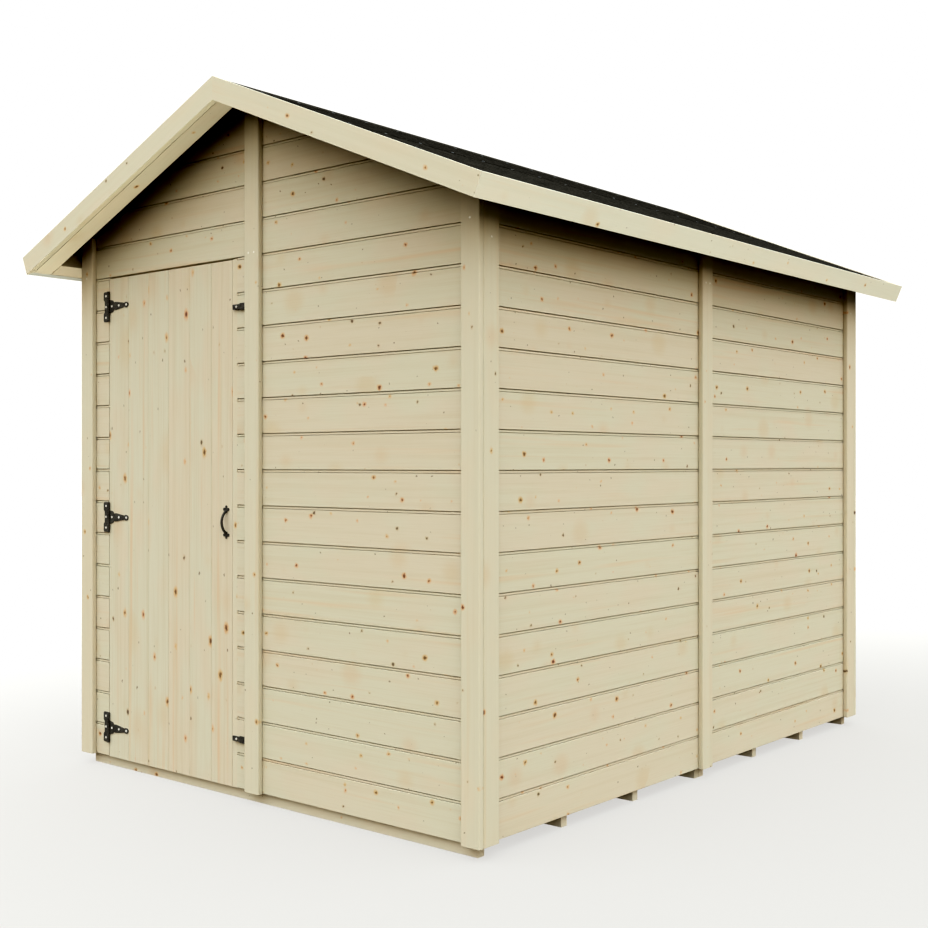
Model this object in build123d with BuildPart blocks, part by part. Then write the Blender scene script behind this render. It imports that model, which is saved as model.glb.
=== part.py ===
from build123d import *
from math import atan, cos, sin
import os

# A windowless apex garden shed in pale timber, with one boarded door in its front gable.
# Millimetres. The origin is on the ground under the middle of the shed, +Z is up,
# the front gable faces -Y and +X is to the right of someone who faces the door.

# The body, over the outer faces of the cladding
body_width = 1804.0
body_depth = 2392.0
cladding_thickness = 12.0
cladding_bottom = 36.0
board_cover = 112.0
door_head_board_count = 15

# The floor: boarded panels on bearers that lie on the ground
bearer_width = 28.0
bearer_height = 44.0
floor_thickness = 11.0
floor_edge_gap = 5.0
bearers_per_panel = 4

# The framing behind the cladding
frame_depth = 28.0
frame_width = 44.0
panel_gap = 2.0

# Corner boards, cover strips, barge boards and fascias are one size of planed board
trim_width = 67.0
trim_thickness = 19.0

# The roof, with depths measured square to its slope
eaves_over_door = 125.0
roof_rise_share = 0.42
eaves_overhang = 151.0
gable_overhang = 171.0
felt_thickness = 3.0
deck_thickness = 12.0
rail_width = 67.0
cap_thickness = 2.0
cap_reach = 150.0
purlin_width = 28.0
purlin_depth = 44.0
rafter_depth = 44.0
rafter_width = 28.0
collar_drop = 244.0
collar_depth = 44.0

# The doorway, in the left half of the front gable
hinge_strip_width = 123.0
lock_strip_width = 88.5
jamb_width = 21.5
stop_width = 18.0
stop_clearance = 5.0
head_stop_depth = 20.0

# The door leaf
door_gap = 5.0
ledge_depth = 28.0
ledge_width = 67.0
ledge_inset = 23.0
brace_foot = 72.0

# Tee hinges
hinge_inset = 101.5
leaf_thickness = 2.5
barrel_radius = 5.0
pin_radius = 2.4
pin_clearance = 0.3
plate_height = 105.0
plate_width = 32.0
plate_waist = 6.0
plate_corner = 4.0
strap_root = 47.0
strap_length = 112.0
knuckle_gap = 1.0
strap_end_radius = 9.6
strap_end_length = 27.0

# Bow pull handle
handle_inset = 25.6
handle_height = 107.0
handle_standoff = 24.0
bow_radius = 4.0
bow_foot_radius = 5.5
foot_thickness = 2.5
foot_lobe_radius = 5.0
foot_lobe_reach = 9.5
foot_tip_radius = 3.6

# Turn buttons
button_inset = 157.0
button_offset = 28.0
button_height = 21.0
button_tail_height = 16.0
button_tail = 20.0
button_neck = 14.0
button_corner = 1.5
button_thickness = 3.0
button_standoff = 5.0
button_seat_gap = 0.3
button_boss_radius = 6.0
button_strip_clearance = 6.5
button_screw_radius = 2.2
button_screw_head_radius = 5.0
button_screw_head = 2.0

LEFT = -1
RIGHT = 1
FRONT = -1
REAR = 1
SIDES = (("left", LEFT), ("right", RIGHT))

# Places that follow from the sizes above
half_width = body_width / 2
half_depth = body_depth / 2
inner_x = half_width - cladding_thickness
inner_y = half_depth - cladding_thickness
room_x = inner_x - frame_depth
room_y = inner_y - frame_depth
half_gap = panel_gap / 2
floor_top = bearer_height + floor_thickness
sill_top = floor_top + frame_width
door_head = cladding_bottom + board_cover * door_head_board_count

pitch = atan(roof_rise_share)
slope_length = (half_width + eaves_overhang) / cos(pitch)
deck_end = slope_length - trim_thickness
roof_skin = felt_thickness + deck_thickness
eaves_height = door_head + eaves_over_door
ridge_height = eaves_height + roof_rise_share * half_width + roof_skin / cos(pitch)
frame_top = roof_skin + frame_width
gable_end = half_depth + gable_overhang
verge_y = gable_end - trim_thickness

doorway_left = hinge_strip_width - half_width
doorway_right = -lock_strip_width - jamb_width
door_left = doorway_left + door_gap
door_right = doorway_right - door_gap
door_bottom = cladding_bottom
door_top = door_head - door_gap
door_middle = (cladding_bottom + door_head) / 2
hinge_heights = (cladding_bottom + hinge_inset, door_middle, door_head - hinge_inset)

pin_x = doorway_left + door_gap / 2
pin_y = -half_depth - barrel_radius
handle_x = door_right - handle_inset
button_x = doorway_right + button_offset
button_heights = (("bottom", cladding_bottom + button_inset), ("top", door_head - button_inset))

os.makedirs("parts", exist_ok=True)


def keep(piece, name):
    """Label a finished sub-part and write it out."""
    piece.part.label = name
    export_step(piece.part, f"parts/{name}.step")


def roof_z(x, below):
    """Height at x of a plane that lies below the roof's top surface, measured square to it."""
    return ridge_height - roof_rise_share * abs(x) - below / cos(pitch)


def slope_point(side, along, below):
    """Point in XZ a distance down the slope from the ridge and square below its surface."""
    x = along * cos(pitch) - below * sin(pitch)
    z = ridge_height - along * sin(pitch) - below * cos(pitch)
    return (side * x, z)


def block(x_low, x_high, z_low, z_high):
    """Upright rectangle in XZ."""
    return [(x_low, z_low), (x_high, z_low), (x_high, z_high), (x_low, z_high)]


def under_roof(x_low, x_high, bottom, below):
    """Outline in XZ from a level foot up to a line that runs below the roof's surface."""
    head = [(x_high, roof_z(x_high, below)), (x_low, roof_z(x_low, below))]
    if x_low < 0 < x_high:
        head.insert(1, (0, roof_z(0, below)))
    return [(x_low, bottom), (x_high, bottom)] + head


def raked(x_low, x_high, upper, lower):
    """Outline in XZ of a bar that follows the slope between two depths, with plumb ends."""
    return [
        (x_low, roof_z(x_low, lower)),
        (x_high, roof_z(x_high, lower)),
        (x_high, roof_z(x_high, upper)),
        (x_low, roof_z(x_low, upper)),
    ]


def down_slope(side, start, end, upper, lower):
    """Outline in XZ of a piece that stands square to the slope."""
    return [
        slope_point(side, start, upper),
        slope_point(side, end, upper),
        slope_point(side, end, lower),
        slope_point(side, start, lower),
    ]


def from_ridge(side, end, upper, lower):
    """Outline in XZ of a layer from a plumb cut at the ridge to a square end down the slope."""
    return [
        (0, roof_z(0, upper)),
        slope_point(side, end, upper),
        slope_point(side, end, lower),
        (0, roof_z(0, lower)),
    ]


def prism(outline, y_low, y_high):
    """Add a solid with an outline in XZ, from y_low to y_high, to the sub-part being built."""
    with BuildSketch(Plane.XZ.offset(-y_low)) as profile:
        with BuildLine():
            Polyline(*outline, close=True)
        make_face()
    extrude(profile.sketch, amount=y_low - y_high)


def fascia(side, mode=Mode.ADD):
    """Add, or take away, the board along one eaves, whose ends are mitred to the barge boards."""
    down = (side * cos(pitch), 0, -sin(pitch))
    outward = (side * sin(pitch), 0, cos(pitch))
    plan = [
        (deck_end, -verge_y),
        (slope_length, -gable_end),
        (slope_length, gable_end),
        (deck_end, verge_y),
    ]
    with BuildSketch(Plane((0, 0, ridge_height), x_dir=down, z_dir=outward)) as roof_plan:
        with BuildLine():
            Polyline(*plan, close=True)
        make_face()
    extrude(roof_plan.sketch, amount=-trim_width, mode=mode)


def mirrored_span(side, near, far):
    """The low and high ends of a span that lies on one side of the middle."""
    return sorted((side * near, side * far))


def stud_places(low, high):
    """Low edges of three studs spread over one wall panel."""
    return (low, (low + high - frame_width) / 2, high - frame_width)


# Floor: two panels of boards on bearers that run across the shed
floor_x = inner_x - floor_edge_gap
floor_y = inner_y - floor_edge_gap
bearer_step = (floor_y - half_gap - bearer_width) / (bearers_per_panel - 1)

with BuildPart() as floor_bearers:
    for half in (FRONT, REAR):
        for number in range(bearers_per_panel):
            near = half_gap + bearer_step * number
            y_low, y_high = mirrored_span(half, near, near + bearer_width)
            prism(block(-floor_x, floor_x, 0, bearer_height), y_low, y_high)
keep(floor_bearers, "floor_bearers")

with BuildPart() as floor_boards:
    for half in (FRONT, REAR):
        y_low, y_high = mirrored_span(half, half_gap, floor_y)
        prism(block(-floor_x, floor_x, bearer_height, floor_top), y_low, y_high)
keep(floor_boards, "floor_boards")

# Side walls: each is a front and a rear panel of cladding, framed on the inside
rail_foot = roof_z(inner_x, roof_skin) - frame_width

for name, side in SIDES:
    skin_x = mirrored_span(side, inner_x, half_width)
    frame_x = mirrored_span(side, room_x, inner_x)

    with BuildPart() as side_wall:
        for half in (FRONT, REAR):
            y_low, y_high = mirrored_span(half, half_gap, inner_y)
            prism(under_roof(*skin_x, cladding_bottom, roof_skin), y_low, y_high)
    keep(side_wall, f"{name}_wall")

    with BuildPart() as side_rails:
        for half in (FRONT, REAR):
            y_low, y_high = mirrored_span(half, half_gap, room_y)
            prism(block(*frame_x, floor_top, sill_top), y_low, y_high)
            prism(under_roof(*frame_x, rail_foot, roof_skin), y_low, y_high)
    keep(side_rails, f"{name}_frame_rails")

    with BuildPart() as side_studs:
        for half in (FRONT, REAR):
            for y_low in stud_places(*mirrored_span(half, half_gap, room_y)):
                prism(block(*frame_x, sill_top, rail_foot), y_low, y_low + frame_width)
    keep(side_studs, f"{name}_frame_studs")

# Rear gable: two plain panels
with BuildPart() as rear_wall:
    for name, side in SIDES:
        span = mirrored_span(side, half_gap, half_width)
        prism(under_roof(*span, cladding_bottom, roof_skin), inner_y, half_depth)
keep(rear_wall, "rear_wall")

with BuildPart() as rear_frame_rails:
    for name, side in SIDES:
        span = mirrored_span(side, half_gap, inner_x)
        prism(block(*span, floor_top, sill_top), room_y, inner_y)
        prism(raked(*span, roof_skin, frame_top), room_y, inner_y)
keep(rear_frame_rails, "rear_frame_rails")

with BuildPart() as rear_frame_studs:
    for name, side in SIDES:
        for x_low in stud_places(*mirrored_span(side, half_gap, inner_x)):
            stud = under_roof(x_low, x_low + frame_width, sill_top, frame_top)
            prism(stud, room_y, inner_y)
keep(rear_frame_studs, "rear_frame_studs")

# Front gable: a plain right half, and a left half split beside and over the doorway
with BuildPart() as front_wall_right:
    prism(under_roof(half_gap, half_width, cladding_bottom, roof_skin), -half_depth, -inner_y)
keep(front_wall_right, "front_wall_right")

with BuildPart() as front_wall_over_door:
    prism(under_roof(-half_width, -half_gap, door_head, roof_skin), -half_depth, -inner_y)
keep(front_wall_over_door, "front_wall_over_door")

with BuildPart() as front_wall_hinge_side:
    prism(block(-half_width, doorway_left, cladding_bottom, door_head), -half_depth, -inner_y)
keep(front_wall_hinge_side, "front_wall_hinge_side")

with BuildPart() as front_wall_lock_side:
    prism(block(-lock_strip_width, -half_gap, cladding_bottom, door_head), -half_depth, -inner_y)
keep(front_wall_lock_side, "front_wall_lock_side")

with BuildPart() as door_jamb:
    prism(block(doorway_right, -lock_strip_width, cladding_bottom, door_head), -half_depth, -inner_y)
keep(door_jamb, "door_jamb")

with BuildPart() as front_frame_rails:
    for x_low, x_high in ((-inner_x, doorway_left), (doorway_right, -half_gap), (half_gap, inner_x)):
        prism(block(x_low, x_high, floor_top, sill_top), -inner_y, -room_y)
    for name, side in SIDES:
        prism(raked(*mirrored_span(side, half_gap, inner_x), roof_skin, frame_top), -inner_y, -room_y)
    prism(block(doorway_left, doorway_right, door_head, door_head + frame_width), -inner_y, -room_y)
keep(front_frame_rails, "front_frame_rails")

with BuildPart() as front_frame_studs:
    door_posts = (doorway_left - frame_width, doorway_right)
    panel_edges = (-inner_x, -half_gap - frame_width)
    for x_low in door_posts + panel_edges + stud_places(half_gap, inner_x):
        stud = under_roof(x_low, x_low + frame_width, sill_top, frame_top)
        prism(stud, -inner_y, -room_y)
keep(front_frame_studs, "front_frame_studs")

with BuildPart() as door_stops:
    stop_y = -inner_y + stop_clearance
    stop_left = doorway_right - stop_width
    head_stop = block(doorway_left, stop_left - panel_gap, door_head - head_stop_depth, door_head)
    prism(head_stop, stop_y, -room_y)
    prism(block(stop_left, doorway_right, floor_top, door_head), stop_y, -room_y)
keep(door_stops, "door_stops")

# Corner boards and cover strips: the gable boards lap over the edges of the side boards
half_trim = trim_width / 2
corner_x = half_width + trim_thickness

for name, y_low in (("front", -half_depth - trim_thickness), ("rear", half_depth)):
    with BuildPart() as gable_trims:
        for x_low in (-corner_x, -half_trim, corner_x - trim_width):
            trim = under_roof(x_low, x_low + trim_width, cladding_bottom, roof_skin)
            prism(trim, y_low, y_low + trim_thickness)
    keep(gable_trims, f"{name}_trims")

for name, side in SIDES:
    with BuildPart() as side_trims:
        trim = under_roof(*mirrored_span(side, half_width, corner_x), cladding_bottom, roof_skin)
        for y_low in (-half_depth, -half_trim, half_depth - trim_width):
            prism(trim, y_low, y_low + trim_width)
    keep(side_trims, f"{name}_trims")

# Roof: boarded slopes under felt, edged by barge boards and fascias, with rails behind the edges
for name, side in SIDES:
    with BuildPart() as roof_deck:
        prism(from_ridge(side, deck_end, felt_thickness, roof_skin), -verge_y, verge_y)
    keep(roof_deck, f"roof_deck_{name}")

    with BuildPart() as roof_felt:
        prism(from_ridge(side, deck_end, 0, felt_thickness), -verge_y, verge_y)
    keep(roof_felt, f"roof_felt_{name}")

    with BuildPart() as barge_boards:
        for y_low in (-gable_end, verge_y):
            prism(from_ridge(side, slope_length, 0, trim_width), y_low, y_low + trim_thickness)
        fascia(side, Mode.SUBTRACT)
    keep(barge_boards, f"barge_boards_{name}")

    with BuildPart() as rake_rails:
        for y_low in (-verge_y, verge_y - rail_width):
            prism(from_ridge(side, deck_end, roof_skin, trim_width), y_low, y_low + rail_width)
    keep(rake_rails, f"rake_rails_{name}")

with BuildPart() as ridge_cap:
    cap_left = from_ridge(LEFT, cap_reach, -cap_thickness, 0)
    cap_right = from_ridge(RIGHT, cap_reach, -cap_thickness, 0)
    prism(cap_left[:3] + cap_right[3:] + cap_right[2:0:-1], -verge_y, verge_y)
keep(ridge_cap, "ridge_cap")

with BuildPart() as eaves_fascias:
    for name, side in SIDES:
        fascia(side)
keep(eaves_fascias, "eaves_fascias")

with BuildPart() as eaves_rails:
    for name, side in SIDES:
        rail = down_slope(side, deck_end - rail_width, deck_end, roof_skin, trim_width)
        prism(rail, -verge_y + rail_width, verge_y - rail_width)
keep(eaves_rails, "eaves_rails")

# Roof supports inside: a purlin under each slope, carried in mid-length by a small truss
purlin_start = (slope_length - purlin_width) / 2
rafter_top = roof_skin + purlin_depth
rafter_foot = rafter_top + rafter_depth
half_rafter = rafter_width / 2

with BuildPart() as roof_purlins:
    for name, side in SIDES:
        purlin = down_slope(side, purlin_start, purlin_start + purlin_width, roof_skin, rafter_top)
        prism(purlin, -room_y, room_y)
keep(roof_purlins, "roof_purlins")

with BuildPart() as truss_rafters:
    for name, side in SIDES:
        rafter = raked(*mirrored_span(side, half_gap, room_x), rafter_top, rafter_foot)
        prism(rafter, -half_rafter, half_rafter)
keep(truss_rafters, "truss_rafters")

with BuildPart() as truss_collar:
    collar_x = collar_drop / roof_rise_share
    collar_z = roof_z(0, rafter_foot) - collar_drop
    collar = block(-collar_x, collar_x, collar_z, collar_z + collar_depth)
    prism(collar, half_rafter, half_rafter + rafter_width)
keep(truss_collar, "truss_collar")

# Door leaf: upright boards held by three ledges and two braces
ledge_left = door_left + ledge_inset
ledge_right = door_right - ledge_inset
half_ledge = ledge_width / 2

with BuildPart() as door_boards:
    prism(block(door_left, door_right, door_bottom, door_top), -half_depth, -inner_y)
keep(door_boards, "door_boards")

with BuildPart() as door_ledges:
    for height in hinge_heights:
        ledge = block(ledge_left, ledge_right, height - half_ledge, height + half_ledge)
        prism(ledge, -inner_y, -inner_y + ledge_depth)
keep(door_ledges, "door_ledges")

with BuildPart() as door_braces:
    for lower, upper in zip(hinge_heights, hinge_heights[1:]):
        foot = lower + half_ledge
        head = upper - half_ledge
        brace = [
            (ledge_left, foot),
            (ledge_left + brace_foot, foot),
            (ledge_right, head),
            (ledge_right - brace_foot, head),
        ]
        prism(brace, -inner_y, -inner_y + ledge_depth)
keep(door_braces, "door_braces")

# Tee hinges: a shaped plate with two knuckles and the pin on the wall, and a strap on the door
half_plate = plate_height / 2
half_root = strap_root / 2
notch_top = half_root + knuckle_gap
plate_edge = pin_x - plate_width
notch_edge = pin_x - barrel_radius - knuckle_gap
knuckle_height = half_plate - notch_top

with BuildPart() as hinge_plates:
    for height in hinge_heights:
        with BuildSketch(Plane.XZ.offset(half_depth)):
            with BuildLine():
                Polyline(
                    (pin_x, height + half_plate),
                    (plate_edge + plate_corner, height + half_plate),
                    (plate_edge, height + half_plate - plate_corner),
                    (plate_edge, height + notch_top),
                    (plate_edge + plate_waist, height + notch_top - plate_waist),
                    (plate_edge + plate_waist, height - notch_top + plate_waist),
                    (plate_edge, height - notch_top),
                    (plate_edge, height - half_plate + plate_corner),
                    (plate_edge + plate_corner, height - half_plate),
                    (pin_x, height - half_plate),
                    (pin_x, height - notch_top),
                    (notch_edge, height - notch_top),
                    (notch_edge, height + notch_top),
                    (pin_x, height + notch_top),
                    close=True,
                )
            make_face()
        extrude(amount=leaf_thickness)
        for foot in (height - half_plate, height + notch_top):
            with BuildSketch(Plane.XY.offset(foot)):
                with Locations((pin_x, pin_y)):
                    Circle(barrel_radius)
            extrude(amount=knuckle_height)
        with BuildSketch(Plane.XY.offset(height - half_plate)):
            with Locations((pin_x, pin_y)):
                Circle(pin_radius)
        extrude(amount=plate_height)
keep(hinge_plates, "hinge_plates")

# The strap steps in twice, tapers and ends in a rounded lobe: shares of its length and half height
strap_shoulder_share = 0.19
strap_step_share = 0.25
strap_lobe_share = 0.36
strap_neck_share = 0.76
shoulder_height_share = 0.86
step_height_share = 0.56
lobe_height_share = 0.6
neck_height_share = 0.33

with BuildPart() as hinge_straps:
    for height in hinge_heights:
        with BuildSketch(Plane.XZ.offset(half_depth)):
            with BuildLine():
                upper = [
                    (pin_x, height + half_root),
                    (pin_x + barrel_radius, height + half_root),
                    (
                        pin_x + strap_length * strap_shoulder_share,
                        height + half_root * shoulder_height_share,
                    ),
                    (
                        pin_x + strap_length * strap_step_share,
                        height + half_root * step_height_share,
                    ),
                    (
                        pin_x + strap_length * strap_lobe_share,
                        height + half_root * lobe_height_share,
                    ),
                    (
                        pin_x + strap_length * strap_neck_share,
                        height + half_root * neck_height_share,
                    ),
                ]
                lower = [(x, height + height - z) for x, z in reversed(upper)]
                Polyline(*upper, *lower, close=True)
            make_face()
            with Locations((pin_x + strap_length - strap_end_length / 2, height)):
                Ellipse(strap_end_length / 2, strap_end_radius)
        extrude(amount=leaf_thickness)
        with BuildSketch(Plane.XY.offset(height - half_root)):
            with Locations((pin_x, pin_y)):
                Circle(barrel_radius)
        extrude(amount=strap_root)
        with BuildSketch(Plane.XY.offset(height - half_root)):
            with Locations((pin_x, pin_y)):
                Circle(pin_radius + pin_clearance)
        extrude(amount=strap_root, mode=Mode.SUBTRACT)
keep(hinge_straps, "hinge_straps")

# Pull handle: a round bow between two flat feet, each with a tip and two side lobes
half_handle = handle_height / 2
foot_front = -half_depth - foot_thickness
bow_end = half_handle - foot_lobe_reach - foot_lobe_radius - foot_tip_radius
lobe_z = bow_end + bow_foot_radius

with BuildPart() as pull_handle:
    for way in (LEFT, RIGHT):
        with BuildSketch(Plane.XZ.offset(half_depth)):
            with Locations((handle_x, door_middle + way * bow_end)):
                Circle(bow_foot_radius)
            with Locations((handle_x, door_middle + way * (half_handle - foot_tip_radius))):
                Circle(foot_tip_radius)
            make_hull()
            for lobe in (LEFT, RIGHT):
                with Locations((handle_x + lobe * foot_lobe_reach, door_middle + way * lobe_z)):
                    Circle(foot_lobe_radius)
        extrude(amount=foot_thickness)
    with BuildLine() as bow_line:
        ThreePointArc(
            (handle_x, foot_front, door_middle + bow_end),
            (handle_x, -half_depth - handle_standoff + bow_radius, door_middle),
            (handle_x, foot_front, door_middle - bow_end),
        )
    with BuildSketch(Plane(origin=bow_line.line @ 0, z_dir=bow_line.line % 0)):
        Circle(bow_radius)
    sweep(path=bow_line.line)
keep(pull_handle, "pull_handle")

# Turn buttons: a stepped plate with a collar that turns on a screw in the wall beside the door
button_back = half_depth + button_standoff + button_seat_gap
button_front = button_back + button_thickness
long_arm = -button_x - half_trim - button_strip_clearance

for name, height in button_heights:
    with BuildPart() as turn_button:
        with BuildSketch(Plane.XZ.offset(button_back)) as plate:
            for start, end, tall in (
                (-button_tail, button_neck, button_tail_height),
                (button_neck, long_arm, button_height),
            ):
                with Locations((button_x + (start + end) / 2, height)):
                    Rectangle(end - start, tall)
            corners = plate.vertices().group_by(Axis.X)
            fillet(corners[0] + corners[-1], radius=button_corner)
        extrude(amount=button_thickness)
        with BuildSketch(Plane.XZ.offset(half_depth + button_seat_gap)):
            with Locations((button_x, height)):
                Circle(button_boss_radius)
        extrude(amount=button_standoff)
        with BuildSketch(Plane.XZ.offset(half_depth)):
            with Locations((button_x, height)):
                Circle(button_screw_radius + pin_clearance)
        extrude(amount=button_front - half_depth, mode=Mode.SUBTRACT)
    keep(turn_button, f"turn_button_{name}")

with BuildPart() as turn_button_screws:
    for name, height in button_heights:
        with BuildSketch(Plane.XZ.offset(half_depth)):
            with Locations((button_x, height)):
                Circle(button_screw_radius)
        extrude(amount=button_front + button_seat_gap - half_depth)
        with BuildSketch(Plane.XZ.offset(button_front + button_seat_gap)):
            with Locations((button_x, height)):
                Circle(button_screw_head_radius)
        extrude(amount=button_screw_head)
keep(turn_button_screws, "turn_button_screws")
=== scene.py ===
# %% [markdown]
# # A pale garden shed, dressed around its CAD frame
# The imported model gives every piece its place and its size, and nothing here moves it.
# This lesson adds what the eye looks for in a new pine shed: separate shiplap boards, rounded edges,
# grain that follows each board, knots, screws and the grit on the roofing felt.

# %% Load the frame
import math
import random

import bmesh
import bpy
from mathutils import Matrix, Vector, noise


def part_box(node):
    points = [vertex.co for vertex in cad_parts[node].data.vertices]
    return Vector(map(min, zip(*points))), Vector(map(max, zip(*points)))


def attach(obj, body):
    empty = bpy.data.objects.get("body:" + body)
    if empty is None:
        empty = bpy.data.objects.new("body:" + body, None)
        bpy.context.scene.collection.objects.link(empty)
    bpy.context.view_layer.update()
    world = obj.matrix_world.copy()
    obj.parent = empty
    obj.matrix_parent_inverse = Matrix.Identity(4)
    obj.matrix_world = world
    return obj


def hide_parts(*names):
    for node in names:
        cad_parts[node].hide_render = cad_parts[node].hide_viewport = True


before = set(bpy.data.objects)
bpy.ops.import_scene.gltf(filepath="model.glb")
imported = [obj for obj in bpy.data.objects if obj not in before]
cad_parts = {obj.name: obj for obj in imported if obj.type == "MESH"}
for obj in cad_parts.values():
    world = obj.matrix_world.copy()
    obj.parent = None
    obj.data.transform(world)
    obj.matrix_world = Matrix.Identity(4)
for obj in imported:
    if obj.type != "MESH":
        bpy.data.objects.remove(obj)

scene = bpy.context.scene
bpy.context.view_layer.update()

# %% [markdown]
# ## What the roof measures
# Many pieces end under the roof, so its slope is needed first. It could be typed in again, but then a
# change in the CAD model would leave the looks behind. It is read from the felt's corners instead.

# %% Measure the roof
MM = 0.001
UP = Vector((0, 0, 1))
RIGHT = Vector((1, 0, 0))
REAR = Vector((0, 1, 0))
SIDES = {"left": -1, "right": 1}

felt_corners = [vertex.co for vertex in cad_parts["roof_felt_right"].data.vertices]
ridge_z = max(corner.z for corner in felt_corners)
eaves_corner = max(felt_corners, key=lambda corner: corner.x)
pitch = math.atan2(ridge_z - eaves_corner.z, eaves_corner.x)
felt_length = eaves_corner.x / math.cos(pitch)
verge_y = abs(eaves_corner.y)
deck_underside = Vector((0, 0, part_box("front_trims")[1].z))


def slope_up(side):
    """The direction square out of a roof slope."""
    return Vector((side * math.sin(pitch), 0, math.cos(pitch)))


def slope_down(side):
    """The direction straight down a roof slope."""
    return Vector((side * math.cos(pitch), 0, -math.sin(pitch)))


def on_slope(side, down, below, y):
    """A point some way down a slope from the ridge and square below its surface."""
    return UP * ridge_z + slope_down(side) * down - slope_up(side) * below + REAR * y


print("roof pitch in degrees", round(math.degrees(pitch), 2))

# %% [markdown]
# ## Tools for timber
# Real boards have softly rounded edges, which catch a thin line of light. A Bevel modifier could round
# them, but the bevel operator lets us choose the edges by their angle, and it leaves a finished mesh.
# Each board also needs its own grain. Every vertex gets a place in its own board: metres along,
# across and through the timber, with a random start, so that no two boards show the same figure.

# %% Shaping tools
SHARP = math.radians(30)
FLAT = math.radians(1)
TOUCHING = MM / 100


def extrude_ring(shape, corners, run):
    """Fill a ring of corners with a face and extrude it: one straight board."""
    face = shape.faces.new([shape.verts.new(corner) for corner in corners])
    grown = bmesh.ops.extrude_face_region(shape, geom=[face])["geom"]
    tips = [part for part in grown if isinstance(part, bmesh.types.BMVert)]
    bmesh.ops.translate(shape, verts=tips, vec=run)


def saw(shape, point, normal):
    """Cut a shape with a plane, drop what lies on the normal's side and close the cuts."""
    everything = shape.verts[:] + shape.edges[:] + shape.faces[:]
    cut = bmesh.ops.bisect_plane(
        shape, geom=everything, dist=TOUCHING, plane_co=point, plane_no=normal, clear_outer=True
    )
    rim = [part for part in cut["geom_cut"] if isinstance(part, bmesh.types.BMEdge)]
    bmesh.ops.edgeloop_fill(shape, edges=[edge for edge in rim if edge.is_boundary])


def edges_along(shape, direction):
    """The edges that run along a direction."""
    for edge in shape.edges:
        run = (edge.verts[1].co - edge.verts[0].co).normalized()
        if abs(run.dot(direction)) > math.cos(SHARP):
            yield edge


def round_edges(shape, radius, segments, along=None, shortest=0.0):
    """Round a shape's outward edges: all, those along a direction, or those of some length."""
    edges = shape.edges if along is None else edges_along(shape, along)
    sharp = [edge for edge in edges if edge.is_manifold and edge.calc_face_angle_signed() > SHARP]
    bmesh.ops.bevel(
        shape, geom=[edge for edge in sharp if edge.calc_length() >= shortest], offset=radius,
        segments=segments, profile=0.5, affect="EDGES", material=-1, clamp_overlap=True,
    )


def copy_node(node):
    """Copy a CAD node, merge its loose triangles and join them into flat faces."""
    shape = bmesh.new()
    shape.from_mesh(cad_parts[node].data)
    bmesh.ops.remove_doubles(shape, verts=shape.verts, dist=TOUCHING)
    bmesh.ops.dissolve_limit(shape, angle_limit=FLAT, verts=shape.verts, edges=shape.edges)
    return shape


print("edges sharper than", round(math.degrees(SHARP)), "degrees can be rounded")

# %% Grain tools
dice = random.Random(20)
GRAIN_FIELD = 30.0
CREASE = math.radians(40)


def solids_in(shape):
    """Yield the vertices of each separate solid, in a fixed order."""
    shape.verts.index_update()
    seen = set()
    for first in shape.verts:
        if first.index in seen:
            continue
        seen.add(first.index)
        solid, waiting = [], [first]
        while waiting:
            vertex = waiting.pop()
            solid.append(vertex)
            for edge in vertex.link_edges:
                other = edge.other_vert(vertex)
                if other.index not in seen:
                    seen.add(other.index)
                    waiting.append(other)
        yield solid


def lay_grain(shape, along=None):
    """Give each vertex its place in its own board, with the grain down the longest edge."""
    grain = shape.verts.layers.float_vector.new("grain")
    tone = shape.verts.layers.float.new("tone")
    for solid in solids_in(shape):
        edges = {edge for vertex in solid for edge in vertex.link_edges}
        faces = {face for vertex in solid for face in vertex.link_faces}
        longest = max(edges, key=lambda edge: (edge.calc_length(), -edge.verts[0].index))
        widest = max(faces, key=lambda face: (face.calc_area(), -face.verts[0].index))
        run = along or (longest.verts[1].co - longest.verts[0].co).normalized()
        through = widest.normal
        across = through.cross(run)
        start = Vector([dice.uniform(0, GRAIN_FIELD) for axis in range(3)])
        shade = dice.uniform(-1, 1)
        for vertex in solid:
            place = vertex.co
            vertex[grain] = start + Vector((place.dot(run), place.dot(across), place.dot(through)))
            vertex[tone] = shade


def finish_piece(name, shape, material, body, slot, *nodes):
    """Turn a shape into an object that rides on a body and stands for its CAD nodes."""
    mesh = bpy.data.meshes.new(name)
    shape.to_mesh(mesh)
    shape.free()
    mesh.materials.append(material)
    mesh.polygons.foreach_set("use_smooth", [True] * len(mesh.polygons))
    mesh.set_sharp_from_angle(angle=CREASE)
    piece = bpy.data.objects.new(name, mesh)
    scene.collection.objects.link(piece)
    piece.modifiers.new("even_normals", "WEIGHTED_NORMAL").keep_sharp = True
    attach(piece, body)
    if nodes:
        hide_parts(*nodes)
    print(name, len(mesh.polygons), "faces")
    return piece


print("each board's grain starts within", GRAIN_FIELD, "metres")

# %% [markdown]
# ## Tools for finishes
# Every finish is a small tree of shader nodes. One function adds a node, sets its properties and
# links its sockets. Colours are picked as sRGB hex values, the way a colour picker shows them, and are
# turned to linear light once. Pattern sizes are given in millimetres of the real material.

# %% Finish tools
MIX_FACTOR, MIX_A, MIX_B, MIX_RESULT = 0, 6, 7, 2


def to_linear(level):
    """Turn one sRGB level to linear light."""
    return level / 12.92 if level <= 0.04045 else ((level + 0.055) / 1.055) ** 2.4


def linear(hex_colour):
    """Turn an sRGB hex colour to linear RGBA."""
    return (*(to_linear(int(hex_colour[place:place + 2], 16) / 255) for place in (1, 3, 5)), 1.0)


def per(millimetres):
    """Pattern scale, in repeats a metre, for a pattern of that many millimetres."""
    return 1 / (millimetres * MM)


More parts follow.
